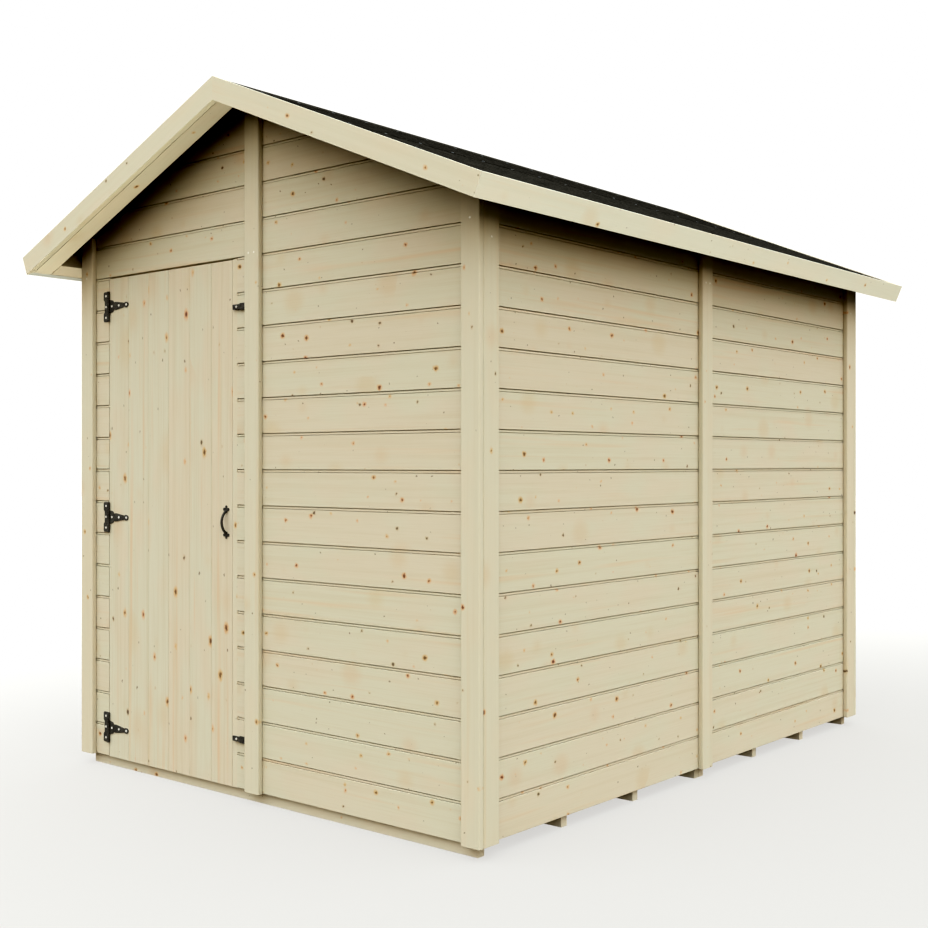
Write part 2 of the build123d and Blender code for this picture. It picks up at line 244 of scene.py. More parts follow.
def add(tree, kind, sockets, **settings):
    """Add one node: settings are its properties, sockets its values or the outputs to link."""
    node = tree.nodes.new(kind)
    for name, value in settings.items():
        setattr(node, name, value)
    for name, value in sockets.items():
        if isinstance(value, bpy.types.NodeSocket):
            tree.links.new(value, node.inputs[name])
        else:
            node.inputs[name].default_value = value
    return node


def tint(tree, colour, over, value, low, high, depth):
    """Blend a colour over another where a value rises from low to high."""
    ramp = {"Value": value, "From Min": low, "From Max": high, "To Max": depth}
    share = add(tree, "ShaderNodeMapRange", ramp, interpolation_type="SMOOTHSTEP")
    blend = {MIX_FACTOR: share.outputs["Result"], MIX_A: colour, MIX_B: over}
    return add(tree, "ShaderNodeMix", blend, data_type="RGBA").outputs[MIX_RESULT]


def start_finish(name):
    """A new material, with its node tree and its shader."""
    finish = bpy.data.materials.new(name)
    finish.use_nodes = True
    return finish, finish.node_tree, finish.node_tree.nodes["Principled BSDF"]


print("middle grey in linear light", round(to_linear(0.5), 3))

# %% [markdown]
# ## Planed pine
# The shed is new, untreated pine. Planing leaves it matt and pale straw, with bands of darker late
# wood along the grain, pinkish resin streaks, and knots: orange brown where a branch was alive, nearly
# black where it was dead, pinheads scattered between, and pale stains over buried ones.
# An image would repeat itself. Noise stretched along the grain draws the bands instead, and cells draw
# the knots, each with a size of its own.

# %% Figure of the pine
FIGURE = (  # layer, length along the grain and width across it in mm, detail, noise at start and full
    ("patch", 260, 95, 1, 0.34, 0.66), ("band", 1100, 16, 2, 0.46, 0.72),
    ("streak", 900, 26, 2, 0.58, 0.78), ("fibre", 160, 3.2, 3, 0.40, 0.80),
)
BOARD_LEAN = 0.16  # how far a board's own tone shifts its patches


def draw_figure(tree, grain, straw, overlays):
    """Lay patches, bands, streaks and fibres over straw: the colour, and the fibres by themselves."""
    tone = add(tree, "ShaderNodeAttribute", {}, attribute_name="tone").outputs["Fac"]
    colour = linear(straw)
    for layer, along_mm, across_mm, detail, low, high in FIGURE:
        scale = (per(along_mm), per(across_mm), per(across_mm))
        stretched = add(tree, "ShaderNodeMapping", {"Vector": grain, "Scale": scale})
        pattern = {"Vector": stretched.outputs["Vector"], "Scale": 1.0, "Detail": detail}
        value = add(tree, "ShaderNodeTexNoise", pattern).outputs["Fac"]
        if layer == "patch":
            lean = {0: tone, 1: BOARD_LEAN, 2: value}
            value = add(tree, "ShaderNodeMath", lean, operation="MULTIPLY_ADD").outputs["Value"]
        over, depth = overlays[layer]
        colour = tint(tree, colour, linear(over), value, low, high, depth)
    return colour, value


print("layers of figure", [layer for layer, *sizes in FIGURE])

# %% Knots of the pine
KNOTS = {  # spacing and radius in mm, how common, then rings: from, to, depth, reddest and yellowest
    "stain": (170, 30.0, 1.2, ((-0.8, 0.5, 0.35, "#CDB193", "#C9B691"),)),
    "pinhead": (48, 3.0, 0.8, ((-0.2, 0.5, 0.7, "#7C5E48", "#7A6C4A"),)),
    "dead": (97, 5.6, 0.6, (
        (-0.6, 0.2, 0.5, "#C0A27C", "#B8A070"), (0.0, 0.5, 0.85, "#55402F", "#5E4E38"),
    )),
    "live": (92, 6.3, 1.0, (
        (-1.0, 0.1, 0.75, "#D2A67A", "#CDAE79"), (-0.1, 0.4, 0.9, "#9C6A52", "#A08258"),
        (0.2, 0.6, 0.75, "#5C3C30", "#6A5238"),
    )),
}
SMALLEST_KNOT_SHARE = 0.35
KNOT_RIPPLE_MM = 10.0
KNOT_WOBBLE_MM = 9.0


def draw_knots(tree, grain, colour, knot_share, knot_shape, knot_size):
    """Lay the knots over a colour: cells of which a share hold a knot, with rippled rims."""
    ripple = {"Vector": grain, "Scale": per(KNOT_RIPPLE_MM), "Detail": 1.0}
    rippled = add(tree, "ShaderNodeTexNoise", ripple).outputs["Color"]
    shake = {0: rippled, 1: Vector((1, 1, 0)) * KNOT_WOBBLE_MM * MM, 2: grain}
    shaken = add(tree, "ShaderNodeVectorMath", shake, operation="MULTIPLY_ADD").outputs["Vector"]
    for spacing_mm, radius_mm, common, rings in KNOTS.values():
        scale = (per(spacing_mm) * knot_shape, per(spacing_mm), 0.0)
        flat = add(tree, "ShaderNodeMapping", {"Vector": shaken, "Scale": scale})
        pattern = {"Vector": flat.outputs["Vector"], "Scale": 1.0}
        cells = add(tree, "ShaderNodeTexVoronoi", pattern, voronoi_dimensions="2D")
        chance = add(tree, "ShaderNodeSeparateColor", {"Color": cells.outputs["Color"]})
        radius = knot_size * radius_mm / spacing_mm
        growth = {"Value": chance.outputs["Red"], "From Min": 1 - knot_share * common,
                  "From Max": 1.0, "To Min": radius * SMALLEST_KNOT_SHARE, "To Max": radius}
        reach = add(tree, "ShaderNodeMapRange", growth, clamp=False).outputs["Result"]
        span = {0: reach, 1: cells.outputs["Distance"]}
        inside = add(tree, "ShaderNodeMath", span, operation="SUBTRACT").outputs["Value"]
        for low, high, depth, red, yellow in rings:
            hue = {MIX_FACTOR: chance.outputs["Green"], MIX_A: linear(red), MIX_B: linear(yellow)}
            bark = add(tree, "ShaderNodeMix", hue, data_type="RGBA").outputs[MIX_RESULT]
            colour = tint(tree, colour, bark, inside, low * radius, high * radius, depth)
    return colour


print("kinds of knot", list(KNOTS))

# %% Pine finish
PINE_ROUGHNESS = {"To Min": 0.62, "To Max": 0.8}
PINE_RELIEF = {"Strength": 0.15, "Distance": 0.4 * MM}
PINE_IOR = 1.45
PINE_SHEEN = 0.2


def pine(
    name, straw, blush, late_wood, resin, band_depth, resin_depth, knot_share, knot_shape, knot_size
):
    """Planed softwood: two ground colours, late wood bands, resin streaks and four kinds of knot."""
    finish, tree, shader = start_finish(name)
    grain = add(tree, "ShaderNodeAttribute", {}, attribute_name="grain").outputs["Vector"]
    overlays = {
        "patch": (blush, 1.0), "band": (late_wood, band_depth),
        "streak": (resin, resin_depth), "fibre": (late_wood, band_depth),
    }
    colour, fibre = draw_figure(tree, grain, straw, overlays)
    colour = draw_knots(tree, grain, colour, knot_share, knot_shape, knot_size)
    roughness = add(tree, "ShaderNodeMapRange", {"Value": fibre, **PINE_ROUGHNESS})
    bump = add(tree, "ShaderNodeBump", {"Height": fibre, **PINE_RELIEF})
    tree.links.new(colour, shader.inputs["Base Color"])
    tree.links.new(roughness.outputs["Result"], shader.inputs["Roughness"])
    tree.links.new(bump.outputs["Normal"], shader.inputs["Normal"])
    shader.inputs["IOR"].default_value = PINE_IOR
    shader.inputs["Specular IOR Level"].default_value = PINE_SHEEN
    return finish


print("pine reflects with an index of", PINE_IOR)

# %% The pines of the shed
pines = {}
for use, *recipe in (  # four colours, depths of band and resin, then share, shape and size of knots
    ("cladding", "#CEC8B2", "#D0C6B0", "#BEAD8A", "#D1B693", 0.15, 0.45, 0.26, 0.85, 1.0),
    ("door", "#CEC8B3", "#D0C5AF", "#BEAD8A", "#D1B089", 0.2, 0.5, 0.18, 0.6, 1.35),
    ("trim", "#CFC8B2", "#D1C7B0", "#C0B394", "#D0BA98", 0.1, 0.3, 0.14, 0.8, 1.0),
    ("rail", "#D2CBB6", "#D4CAB4", "#C0B394", "#D0BA98", 0.1, 0.3, 0.2, 0.8, 1.0),
    ("framing", "#CABD9C", "#CDB994", "#B09A70", "#CAA578", 0.5, 0.4, 0.14, 0.8, 1.2),
    ("floor", "#CCC1A4", "#CFBD9C", "#B5A279", "#CCA87C", 0.4, 0.4, 0.14, 0.8, 1.2),
):
    pines[use] = pine(f"planed_pine_{use}", *recipe)
print("pines", list(pines))

# %% [markdown]
# ## Felt, roof board, iron and zinc
# Mineral felt is bitumen with stone grit rolled in: nearly black, matt and speckled. The roof boards are
# pressed from brown wood flakes, drawn near black as painted shade for the dark under the eaves. The
# hinges are pressed steel under black stoving paint, which flows into a faint hammered skin, and the
# screws are bright zinc. Each is cells and clouds of noise on Object coordinates, since these surfaces
# have no direction of their own.

# %% Speckled finishes
GRIT_MM = 5.0  # real grit is about 1 mm: drawn coarser so that it shows
SPECK_SHARE = 0.6
TONE_SHARE = 0.15
DARKEST, PALEST = 0.35, 1.25
ROUGHNESS_SPREAD = 0.08
SPECKLE_STRENGTH = 0.6


def speckled(name, dark, pale, grain_mm, cloud_mm, roughness, relief_mm, specular, metallic=0.0):
    """A ground broken up by cells of one size and clouds of another."""
    finish, tree, shader = start_finish(name)
    place = add(tree, "ShaderNodeTexCoord", {}).outputs["Object"]
    cells = add(tree, "ShaderNodeTexVoronoi", {"Vector": place, "Scale": per(grain_mm)})
    clouds = add(tree, "ShaderNodeTexNoise", {"Vector": place, "Scale": per(cloud_mm), "Detail": 3.0})
    speck = add(tree, "ShaderNodeSeparateColor", {"Color": cells.outputs["Color"]}).outputs["Red"]
    tone = add(tree, "ShaderNodeAttribute", {}, attribute_name="tone").outputs["Fac"]
    mixed = clouds.outputs["Fac"]
    for layer, share in ((speck, SPECK_SHARE), (tone, TONE_SHARE)):
        sum_up = {0: layer, 1: share, 2: mixed}
        mixed = add(tree, "ShaderNodeMath", sum_up, operation="MULTIPLY_ADD").outputs["Value"]
    colour = tint(tree, linear(dark), linear(pale), mixed, DARKEST, PALEST, 1.0)
    low, high = roughness - ROUGHNESS_SPREAD, roughness + ROUGHNESS_SPREAD
    matt = {"Value": speck, "To Min": low, "To Max": high}
    rough = add(tree, "ShaderNodeMapRange", matt)
    relief = {"Height": mixed, "Strength": SPECKLE_STRENGTH, "Distance": relief_mm * MM}
    bump = add(tree, "ShaderNodeBump", relief)
    tree.links.new(colour, shader.inputs["Base Color"])
    tree.links.new(rough.outputs["Result"], shader.inputs["Roughness"])
    tree.links.new(bump.outputs["Normal"], shader.inputs["Normal"])
    shader.inputs["Specular IOR Level"].default_value = specular
    shader.inputs["Metallic"].default_value = metallic
    return finish


roof_felt = speckled(
    "mineral_roofing_felt", "#22201C", "#433F38",
    grain_mm=GRIT_MM, cloud_mm=40, roughness=0.92, relief_mm=0.8, specular=0.0,
)
# The roof board's near-black brown is partly its own colour and partly painted shade for the dark under
# the eaves.
roof_board_painted_shade = speckled(
    "flake_roof_board", "#33271C", "#5A4632",
    grain_mm=24, cloud_mm=90, roughness=0.8, relief_mm=0.3, specular=0.2,
)
black_iron = speckled(
    "black_stoved_steel", "#35322D", "#5A5750",
    grain_mm=2.5, cloud_mm=30, roughness=0.6, relief_mm=0.25, specular=0.2,
)
zinc = speckled(
    "bright_zinc_plate", "#D9D5C9", "#EFEBE0",
    grain_mm=1.2, cloud_mm=12, roughness=0.45, relief_mm=0.03, specular=0.5, metallic=0.5,
)
nail_zinc = speckled(
    "dull_galvanised_nails", "#5E5D5A", "#7C7A75",
    grain_mm=1.2, cloud_mm=12, roughness=0.55, relief_mm=0.03, specular=0.5, metallic=1.0,
)
print("finishes", len(bpy.data.materials))

# %% [markdown]
# ## Shiplap walls
# Each wall panel is a stack of planed boards. A board's lower lip hangs over the board below and
# leaves a shallow channel with a thin dark slot above and below it: the double line in the photograph.
# A groove could be drawn in a bump map, but it would not cast a shadow. So one profile is extruded
# to each board's length, and the roof's underside saws off the ends that stand too high.

# %% Shiplap profile
board_cover = 112 * MM
lip_lift = 1.3 * MM
lip_gap = 2.3 * MM
channel_height = 7.0 * MM
channel_depth = 2.0 * MM
slot_gap = 1.6 * MM
slot_depth = 8.5 * MM
tongue_depth = 7.5 * MM
lip_rounding = 0.5 * MM
panel_gap = 2 * MM

cladding_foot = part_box("right_wall")[0].z
front_low, front_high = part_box("front_wall_right")
board_thickness = front_high.y - front_low.y
channel_foot = board_cover - channel_height
channel_top = board_cover + lip_lift - lip_gap
shiplap_profile = [
    (0, 0),
    (0, board_thickness - tongue_depth),
    (lip_lift, board_thickness - tongue_depth),
    (lip_lift, board_thickness),
    (channel_foot - slot_gap, board_thickness),
    (channel_foot - slot_gap, board_thickness - slot_depth),
    (channel_foot, board_thickness - slot_depth),
    (channel_foot, board_thickness - channel_depth),
    (channel_top, board_thickness - channel_depth),
    (channel_top, board_thickness - tongue_depth),
    (board_cover, board_thickness - tongue_depth),
    (board_cover, 0),
]
print("board thickness in mm", round(board_thickness / MM, 1))

# %% Board the walls


def board_wall(node, outward):
    """Stack shiplap boards where a CAD wall stands, cut to the roof."""
    low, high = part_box(node)
    along = UP.cross(outward)
    start, end = sorted((low.dot(along), high.dot(along)))
    inner = min(low.dot(outward), high.dot(outward))
    panels = [(start, end)]
    if start < 0 < end:
        panels = [(start, -panel_gap / 2), (panel_gap / 2, end)]
    first_row = round((low.z - cladding_foot) / board_cover)
    row_count = math.ceil((high.z - low.z - MM) / board_cover)
    wall = bmesh.new()
    for left, right in panels:
        for row in range(first_row, first_row + row_count):
            foot = cladding_foot + row * board_cover
            corner = along * left + outward * inner + UP * foot
            ring = [corner + UP * rise + outward * depth for rise, depth in shiplap_profile]
            extrude_ring(wall, ring, along * (right - left))
    bmesh.ops.recalc_face_normals(wall, faces=wall.faces)
    for side in SIDES.values():
        saw(wall, deck_underside, slope_up(side))
    round_edges(wall, lip_rounding, segments=1, along=along)
    lay_grain(wall, along)
    finish_piece(f"{node}_shiplap", wall, pines["cladding"], "shed", "cladding", node)


for node, outward in {
    "right_wall": RIGHT, "left_wall": -RIGHT, "rear_wall": REAR, "front_wall_right": -REAR,
    "front_wall_over_door": -REAR, "front_wall_hinge_side": -REAR, "front_wall_lock_side": -REAR,
}.items():
    board_wall(node, outward)

# %% [markdown]
# ## The door leaf and the floor
# The door is six upright boards with a fine V where they meet. The floor has narrower boards that
# run from front to back over the bearers. Both are plain rectangles extruded along the grain, and a
# one-step bevel of the long edges makes the V.

# %% Board the door and the floor
# where the door's boards meet, across the front
door_joints_mm = (-664.8, -553.7, -442.4, -327.8, -216.6)
door_vee = 1.3 * MM
leaf_growth = 3.5 * MM  # the CAD leaf has room to swing: the photograph shows a hairline gap
floor_board_count = 18
floor_vee = 1.0 * MM
joint_gap = 0.5 * MM


def board_panel(shape, edges, low, high, run):
    """Lay rectangular boards between low and high, side by side from edge to edge along X."""
    far = high - run
    for left, right in zip(edges, edges[1:]):
        left_x = left + joint_gap / 2
        right_x = right - joint_gap / 2
        ring = [
            Vector((left_x, low.y, low.z)), Vector((right_x, low.y, low.z)),
            Vector((right_x, far.y, far.z)), Vector((left_x, far.y, far.z)),
        ]
        extrude_ring(shape, ring, run)
    bmesh.ops.recalc_face_normals(shape, faces=shape.faces)


low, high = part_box("door_boards")
door_leaf = bmesh.new()
door_edges = [low.x - leaf_growth, *(joint * MM for joint in door_joints_mm), high.x + leaf_growth]
board_panel(door_leaf, door_edges, low, high, UP * (high.z - low.z))
round_edges(door_leaf, door_vee, segments=1, along=UP)
lay_grain(door_leaf, UP)
finish_piece("door_leaf", door_leaf, pines["door"], "door", "door_timber", "door_boards")

low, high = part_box("floor_boards")
floor_panels = bmesh.new()
step = (high.x - low.x) / floor_board_count
floor_edges = [low.x + step * number for number in range(floor_board_count + 1)]
panel_length = high.y - panel_gap / 2
for foot_y in (low.y, panel_gap / 2):
    corner = Vector((low.x, foot_y, low.z))
    far_corner = Vector((high.x, foot_y + panel_length, high.z))
    board_panel(floor_panels, floor_edges, corner, far_corner, REAR * panel_length)
round_edges(floor_panels, floor_vee, segments=1, along=REAR)
lay_grain(floor_panels, REAR)
finish_piece("floor_panels", floor_panels, pines["floor"], "shed", "floor_timber", "floor_boards")

# %% [markdown]
# ## Trims, frame and roof timbers
# These pieces already have the right shape in the CAD model, but its edges are knife sharp and its
# faces carry no grain. A copy of each is merged, its long edges are eased with a bevel, as a planer
# does, and its ends stay as the saw left them. The grain runs down each bar's longest edge.

# %% Dress the timbers
trim_rounding = 4.0 * MM
edge_rounding = 0.3 * MM
bar_rounding = 1.2 * MM
planed_length = 150 * MM
seam = 1.8 * MM
barge_back = verge_y - seam
rail_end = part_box("eaves_rails")[1].y - seam
shortened = {  # planes that take a saw cut off a timber, so that its joint shows as a dark line
    "rake_rails_left": [(REAR * barge_back, REAR), (-REAR * barge_back, -REAR)],
    "rake_rails_right": [(REAR * barge_back, REAR), (-REAR * barge_back, -REAR)],
    "eaves_rails": [(REAR * rail_end, REAR), (-REAR * rail_end, -REAR)],
    "door_jamb": [(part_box("door_jamb")[1] - UP * 2 * seam, UP)],
}
for side in SIDES.values():
    shortened["eaves_rails"].append((on_slope(side, felt_length - seam, 0, 0), slope_down(side)))
dressed = {
    ("trim", "trim_timber", "shed", trim_rounding): (
        "front_trims", "rear_trims", "left_trims", "right_trims",
    ),
    ("trim", "trim_timber", "shed", edge_rounding): (
        "barge_boards_left", "barge_boards_right", "eaves_fascias", "door_jamb",
    ),
    ("rail", "trim_timber", "shed", edge_rounding): (
        "rake_rails_left", "rake_rails_right", "eaves_rails",
    ),
    ("framing", "framing", "shed", bar_rounding): (
        "left_frame_rails", "left_frame_studs", "right_frame_rails", "right_frame_studs",
        "rear_frame_rails", "rear_frame_studs", "front_frame_rails", "front_frame_studs",
        "door_stops", "roof_purlins", "truss_rafters", "truss_collar",
    ),
    ("framing", "framing", "door", bar_rounding): ("door_ledges", "door_braces"),
    ("rail", "floor_timber", "shed", bar_rounding): ("floor_bearers",),
}
planed = {}
for (use, slot, body, rounding), nodes in dressed.items():
    for node in nodes:
        timber = copy_node(node)
        for point, normal in shortened.get(node, ()):
            saw(timber, point, normal)
        round_edges(timber, rounding, segments=2, shortest=planed_length)
        lay_grain(timber)
        planed[node] = finish_piece(f"{node}_planed", timber, pines[use], body, slot, node)

# %% [markdown]
# ## Felt
# Felt comes in rolls about a metre wide. Each slope has a lower run along the eaves and an upper run
# that laps over it, and a strip caps the ridge. Rolls differ by a shade, so the laps show from above.
# A flat slab would look like plastic, so each run is subdivided into a grid and sinks a fraction of a
# millimetre where noise says, as felt does between its nails.

# %% Felt runs
felt_layer = 3.0 * MM
felt_sheet = 0.7 * MM
lap_top = 480 * MM
lap_foot = 555 * MM
lap_rise = 25 * MM
cap_reach = 150 * MM
sag = 0.6 * MM
sag_size = 90 * MM
cuts_along, cuts_down = 60, 8
lower_shade, upper_shade, cap_shade = 0.0, -0.7, 1.0
lap_under = felt_layer - felt_sheet
lap_over = lap_under - felt_sheet

lower_run = [
    (lap_top, lap_under), (felt_length, lap_under), (felt_length, felt_layer), (lap_top, felt_layer),
]
upper_run = [
    (0, lap_under), (lap_top - lap_rise, lap_under), (lap_top, lap_over), (lap_foot, lap_over),
    (lap_foot, lap_under), (lap_top, lap_under), (lap_top - lap_rise, felt_layer), (0, felt_layer),
]
for name, side in SIDES.items():
    felt = bmesh.new()
    tone = felt.verts.layers.float.new("tone")
    for outline, shade in ((lower_run, lower_shade), (upper_run, upper_shade)):
        made_before = len(felt.verts)
        ring = [on_slope(side, *corner, -verge_y) for corner in outline]
        extrude_ring(felt, ring, REAR * 2 * verge_y)
        felt.verts.ensure_lookup_table()
        for vertex in felt.verts[made_before:]:
            vertex[tone] = shade
    bmesh.ops.recalc_face_normals(felt, faces=felt.faces)
    saw(felt, Vector(), -side * RIGHT)
    for direction, cuts in ((REAR, cuts_along), (slope_down(side), cuts_down)):
        bmesh.ops.subdivide_edges(felt, edges=list(edges_along(felt, direction)), cuts=cuts)
    for vertex in felt.verts:
        vertex.co -= slope_up(side) * sag * max(0.0, noise.noise(vertex.co / sag_size))
    finish_piece(f"felt_runs_{name}", felt, roof_felt, "shed", "roof_felt", f"roof_felt_{name}")

ridge_rise = felt_sheet / math.cos(pitch)
cap_top = UP * (ridge_z - lap_over / math.cos(pitch)) - REAR * verge_y
cap_ring = [
    on_slope(-1, cap_reach, lap_under, -verge_y), on_slope(-1, cap_reach, lap_over, -verge_y), cap_top,
    on_slope(1, cap_reach, lap_over, -verge_y), on_slope(1, cap_reach, lap_under, -verge_y),
    cap_top - UP * ridge_rise,
]
cap = bmesh.new()
tone = cap.verts.layers.float.new("tone")
extrude_ring(cap, cap_ring, REAR * 2 * verge_y)
for vertex in cap.verts:
    vertex[tone] = cap_shade
bmesh.ops.recalc_face_normals(cap, faces=cap.faces)
finish_piece("felt_ridge_cap", cap, roof_felt, "shed", "roof_felt", "ridge_cap")
# The roof deck takes the near-black board: its darkness is partly painted shade under the eaves.
for node in ("roof_deck_left", "roof_deck_right"):
    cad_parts[node].data.materials.clear()
    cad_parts[node].data.materials.append(roof_board_painted_shade)

# %% [markdown]
# ## Ironwork
# The hinges, the pull and the buttons are small black pressings. A copy of each is merged and its
# rims are rounded, so that the paint shows a lit edge.

# %% Dress the ironwork
iron_rounding = 0.6 * MM
for node, body in {
    "hinge_plates": "shed", "hinge_straps": "door", "pull_handle": "door",
    "turn_button_top": "turn_button_top", "turn_button_bottom": "turn_button_bottom",
}.items():
    pressing = copy_node(node)
    round_edges(pressing, iron_rounding, segments=2)
    finish_piece(f"{node}_iron", pressing, black_iron, body, "black_iron", node)

# %% [markdown]
# ## Screws and nails
# Bright countersunk screws hold the hinges, the turn buttons and the tops of the trims. Each head is a
# short cone, and two insets press the driver's socket into its crown. The felt's clout nails
# are the same heads, wider, flatter and without a socket.

# %% Screw heads
head_sides = 14
head_faces = head_sides + 2
crown_share = 0.8
socket_share = 0.45
socket_taper_share = 0.05
socket_depth_share = 0.6


def drive(name, places, outward, radius, height, material, body, *nodes, socket=True):
    """Set a screw or nail head at each place on a surface that faces outward."""
    heads = bmesh.new()
    turn = UP.rotation_difference(outward).to_matrix()
    crown_radius = radius * crown_share
    for place in places:
        made_before = len(heads.verts)
        bmesh.ops.create_cone(
            heads, cap_ends=True, segments=head_sides, radius1=radius, radius2=crown_radius, depth=height
        )
        heads.faces.ensure_lookup_table()
        crown = max(heads.faces[-head_faces:], key=lambda face: face.calc_center_median().z)
        if socket:
            rim = crown_radius * (1 - socket_share)
            taper = radius * socket_taper_share
            bmesh.ops.inset_region(heads, faces=[crown], thickness=rim)
            bmesh.ops.inset_region(
                heads, faces=[crown], thickness=taper, depth=-height * socket_depth_share
            )
        heads.verts.ensure_lookup_table()
        head = heads.verts[made_before:]
        bmesh.ops.translate(heads, verts=head, vec=UP * height / 2)
        bmesh.ops.rotate(heads, verts=head, cent=Vector(), matrix=turn)
        bmesh.ops.translate(heads, verts=head, vec=place)
    finish_piece(name, heads, material, body, "screw_steel", *nodes)


def solid_boxes(node):
    """The low and high corners of each solid in a CAD node."""
    shape = copy_node(node)
    boxes = []
    for solid in solids_in(shape):
        columns = list(zip(*(vertex.co for vertex in solid)))
        boxes.append((Vector(map(min, columns)), Vector(map(max, columns))))
    shape.free()
    return boxes


print("hinges to screw on", len(solid_boxes("hinge_plates")))

# %% Screws in place
screw_radius = 4.2 * MM
screw_height = 1.0 * MM
leaf_thickness = 2.5 * MM
plate_screw_inset = 14 * MM
plate_screw_spread = 38 * MM
strap_screw_insets = (11 * MM, 54 * MM, 95 * MM)
button_screw_radius = 3.78 * MM
button_screw_height = 2.0 * MM
leaf_y = front_low.y - leaf_thickness

plate_screws = []
for low, high in solid_boxes("hinge_plates"):
    for rise in (-plate_screw_spread, 0, plate_screw_spread):
        plate_screws.append(Vector((low.x + plate_screw_inset, leaf_y, (low.z + high.z) / 2 + rise)))
drive("hinge_plate_screws", plate_screws, -REAR, screw_radius, screw_height, zinc, "shed")

strap_screws = []
for low, high in solid_boxes("hinge_straps"):
    for inset in strap_screw_insets:
        strap_screws.append(Vector((high.x - inset, leaf_y, (low.z + high.z) / 2)))
drive("hinge_strap_screws", strap_screws, -REAR, screw_radius, screw_height, zinc, "door")

button_screws = []
for low, high in solid_boxes("turn_button_screws"):
    middle = (low + high) / 2
    button_screws.append(Vector((middle.x, low.y + button_screw_height, middle.z)))
drive(
    "turn_button_screw_heads", button_screws, -REAR, button_screw_radius, button_screw_height,
    zinc, "shed", "turn_button_screws",
)

# %% Trim screws
trim_screw_radius = 3.4 * MM
trim_screw_height = 0.6 * MM
gable_screw_z = 1.721
side_screw_z = 1.673
strip_screw_shift = 13 * MM

for name, outward in {"front": -REAR, "rear": REAR, "left": -RIGHT, "right": RIGHT}.items():
    along = UP.cross(outward)
    places = []
    for low, high in solid_boxes(f"{name}_trims"):
        middle = (low + high) / 2
        is_strip = abs(middle.dot(along)) < MM
        shifts = (-strip_screw_shift, strip_screw_shift) if is_strip else (0,)
        height = gable_screw_z if outward.y else side_screw_z
        face = max(low.dot(outward), high.dot(outward))
        for shift in shifts:
            places.append(along * (middle.dot(along) + shift) + outward * face + UP * height)
    drive(f"{name}_trim_screws", places, outward, trim_screw_radius, trim_screw_height, zinc, "shed")

# %% Felt nails
nail_radius = 5.0 * MM
nail_height = 0.8 * MM
nail_inset = 20 * MM
nails_in_row = 18

for name, side in SIDES.items():
    places = []
    for edge in (lap_foot, cap_reach):
        for number in range(nails_in_row):
            y = -verge_y + 2 * verge_y * (number + 0.5) / nails_in_row
            places.append(on_slope(side, edge - nail_inset, lap_over, y))
    drive(
        f"felt_nails_{name}", places, slope_up(side), nail_radius, nail_height, nail_zinc, "shed",
        socket=False,
    )

# %% [markdown]
# ## Studio light and floor
# The photograph is lit by a wide white sky and nothing from below: the walls go dark under the eaves.
# That shade is also warmer than the open wall, so the sky must be warm low down and cool overhead.
# The world is such a dome over a dark lower half, about half as strong again at the front right corner.
# The floor is pale and throws no light back. Its glow is dimmest around a point right of the shed, a
# painted shadow there, and fades up to white further out; its rim is turned up into a white backdrop.
# Four soft cards light only the rails, barge boards and fascias at the roof's edge.

# %% Dome
SKY = 4.36
FILL_SHARE = 0.65
HORIZON_BLUR = 0.07
KEY_START, KEY_FULL = -0.5, 0.7
ZENITH, HORIZON, BELOW = "#D8EBFF", "#AA9672", "#0C0B0B"
KEY_WAY = Vector((1, -1, 0)).normalized()
world = bpy.data.worlds.new("studio_dome")
world.use_nodes = True
scene.world = world
dome = world.node_tree
way = add(dome, "ShaderNodeTexCoord", {}).outputs["Generated"]
height = add(dome, "ShaderNodeSeparateXYZ", {"Vector": way}).outputs["Z"]
rise = {MIX_FACTOR: height, MIX_A: linear(HORIZON), MIX_B: linear(ZENITH)}
sky = add(dome, "ShaderNodeMix", rise, data_type="RGBA").outputs[MIX_RESULT]
sky = tint(dome, linear(BELOW), sky, height, 0.0, HORIZON_BLUR, 1.0)
facing = add(dome, "ShaderNodeVectorMath", {0: way, 1: KEY_WAY}, operation="DOT_PRODUCT")
key = {"Value": facing.outputs["Value"], "From Min": KEY_START, "From Max": KEY_FULL,
       "To Min": FILL_SHARE * SKY, "To Max": SKY}
strength = add(dome, "ShaderNodeMapRange", key, interpolation_type="SMOOTHSTEP").outputs["Result"]
dome.links.new(sky, dome.nodes["Background"].inputs["Color"])
dome.links.new(strength, dome.nodes["Background"].inputs["Strength"])
print("dome from", HORIZON, "to", ZENITH)

# %% Pale floor and backdrop
floor_radius = 40.0
floor_sides = 96
backdrop_height = 50.0
# The floor's glow is dimmest around a point right of the shed: a painted shadow, which fades up to white
# towards the backdrop.
painted_shadow_x = 2.0
shade_radius, white_radius = 1.5, 9.0
shade_glow, white_glow = 0.621, 0.9
floor_shape = bmesh.new()
bmesh.ops.create_circle(floor_shape, cap_ends=True, segments=floor_sides, radius=floor_radius)
rim = [edge for edge in floor_shape.edges if edge.is_boundary]
raised = bmesh.ops.extrude_edge_only(floor_shape, edges=rim)["geom"]
tops = [part for part in raised if isinstance(part, bmesh.types.BMVert)]
bmesh.ops.translate(floor_shape, verts=tops, vec=UP * backdrop_height)
floor_mesh = bpy.data.meshes.new("studio_floor")
floor_shape.to_mesh(floor_mesh)
floor_shape.free()
studio_floor = bpy.data.objects.new("studio_floor", floor_mesh)
scene.collection.objects.link(studio_floor)
studio_floor.visible_diffuse = False
studio_floor.visible_shadow = False

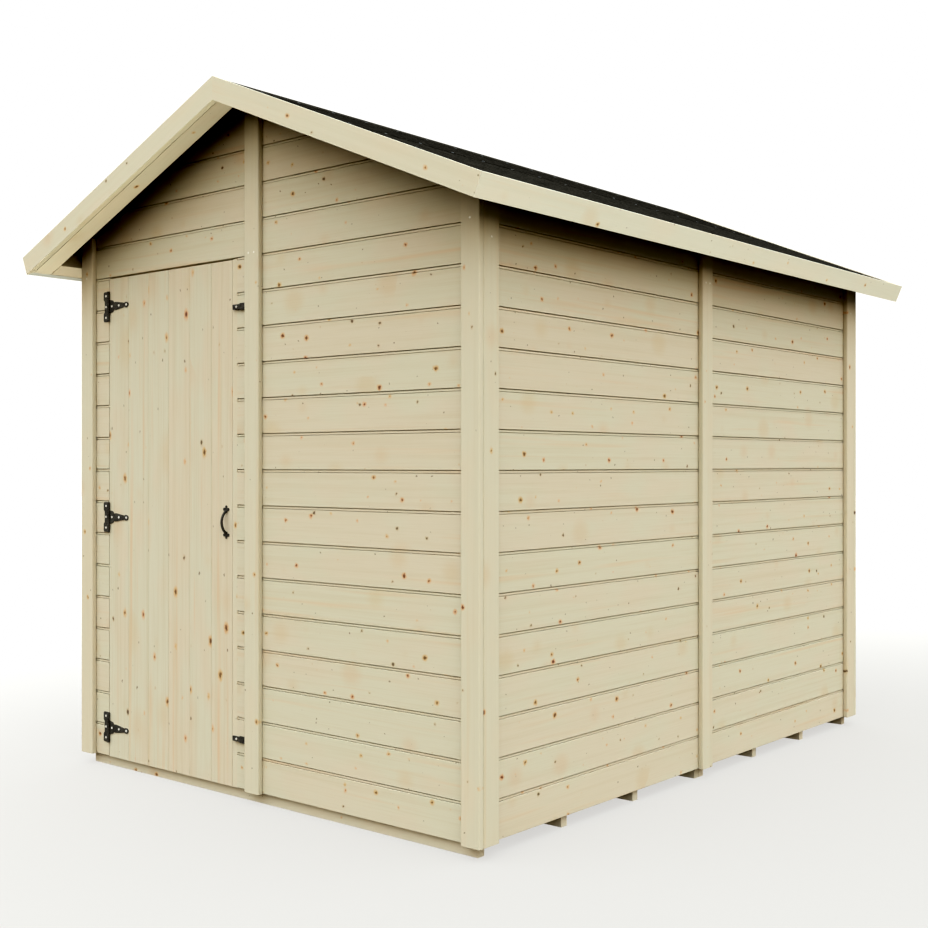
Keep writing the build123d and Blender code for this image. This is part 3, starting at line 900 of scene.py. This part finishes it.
pale_floor, tree, shader = start_finish("pale_studio_floor")
place = add(tree, "ShaderNodeTexCoord", {}).outputs["Object"]
# Distance from the painted shadow's centre, right of the shed.
from_painted_shadow = {0: place, 1: RIGHT * painted_shadow_x}
distance = add(tree, "ShaderNodeVectorMath", from_painted_shadow, operation="DISTANCE").outputs["Value"]
fade = {"Value": distance, "From Min": shade_radius, "From Max": white_radius,
        "To Min": shade_glow, "To Max": white_glow}
glow = add(tree, "ShaderNodeMapRange", fade, interpolation_type="SMOOTHSTEP").outputs["Result"]
tree.links.new(glow, shader.inputs["Emission Strength"])
shader.inputs["Emission Color"].default_value = linear("#FFFEFC")
shader.inputs["Base Color"].default_value = linear("#56534D")
shader.inputs["Roughness"].default_value = 1.0
shader.inputs["Specular IOR Level"].default_value = 0.0
floor_mesh.materials.append(pale_floor)
print("floor of", floor_radius, "metres, backdrop of", backdrop_height)

# %% Cards under the roof's edge
card_size = 10.0
card_height = 0.02
for name, power, tinge, spread, middle, nodes in (  # watts, colour, degrees, place, what it lights
    ("rake_card", 335.0, "#FFFFF4", 70, (-4.5, 0), ("rake_rails_left", "rake_rails_right")),
    ("eaves_card", 310.0, "#FFF8EA", 70, (-5.2, 0), ("eaves_rails",)),
    ("barge_card", 250.0, "#FFFFF4", 20, (0, 0), ("barge_boards_left", "barge_boards_right")),
    ("fascia_card", 400.0, "#E5F3FF", 180, (0, -2), ("eaves_fascias",)),
):
    card = bpy.data.objects.new(name, bpy.data.lights.new(name, "AREA"))
    card.data.shape = "SQUARE"
    card.data.size = card_size
    card.data.energy = power
    card.data.color = linear(tinge)[:3]
    card.data.spread = math.radians(spread)
    card.location = (*middle, card_height)
    card.rotation_euler = (math.pi, 0, 0)
    card.visible_camera = False
    card.visible_glossy = False
    scene.collection.objects.link(card)
    lit = bpy.data.collections.new(f"lit_by_{name}")
    for node in nodes:
        lit.objects.link(planed[node])
    card.light_linking.receiver_collection = lit
    print(name, "lights", len(nodes), "pieces")

# %% [markdown]
# ## Print tones and camera
# The photograph is printed with more contrast than a camera sees: tones under a level go to black and
# pale ones to white. A curve in the view settings does the same to every render of this scene.

# %% Print tones
PRINT_BLACK = 45 / 255
PRINT_WHITE = 243 / 255
CURVE_STEPS = 8
ALL_CHANNELS = 3
view = scene.view_settings
view.view_transform = "Standard"
view.use_curve_mapping = True
view.curve_mapping.extend = "HORIZONTAL"
curve = view.curve_mapping.curves[ALL_CHANNELS]
curve.points[0].location = (to_linear(PRINT_BLACK), 0.0)
curve.points[1].location = (to_linear(PRINT_WHITE), 1.0)
for step in range(1, CURVE_STEPS):
    share = step / CURVE_STEPS
    level = PRINT_BLACK + share * (PRINT_WHITE - PRINT_BLACK)
    curve.points.new(to_linear(level), to_linear(share))
view.curve_mapping.update()
print("print curve of", len(curve.points), "points")

# %% Camera
lens_mm = 50
sensor_mm = 36
far_limit = 1000.0
camera_place = Vector((3.093, -3.858, 1.062))
camera_turn = math.radians(40.1)
camera = bpy.data.objects.new("photo_camera", bpy.data.cameras.new("photo_camera"))
camera.data.lens = lens_mm
camera.data.sensor_width = sensor_mm
camera.data.clip_end = far_limit
camera.location = camera_place
camera.rotation_euler = (math.pi / 2, 0, camera_turn)
scene.collection.objects.link(camera)
scene.camera = camera
print("camera stands", round(camera_place.length, 2), "metres from the frame's origin")
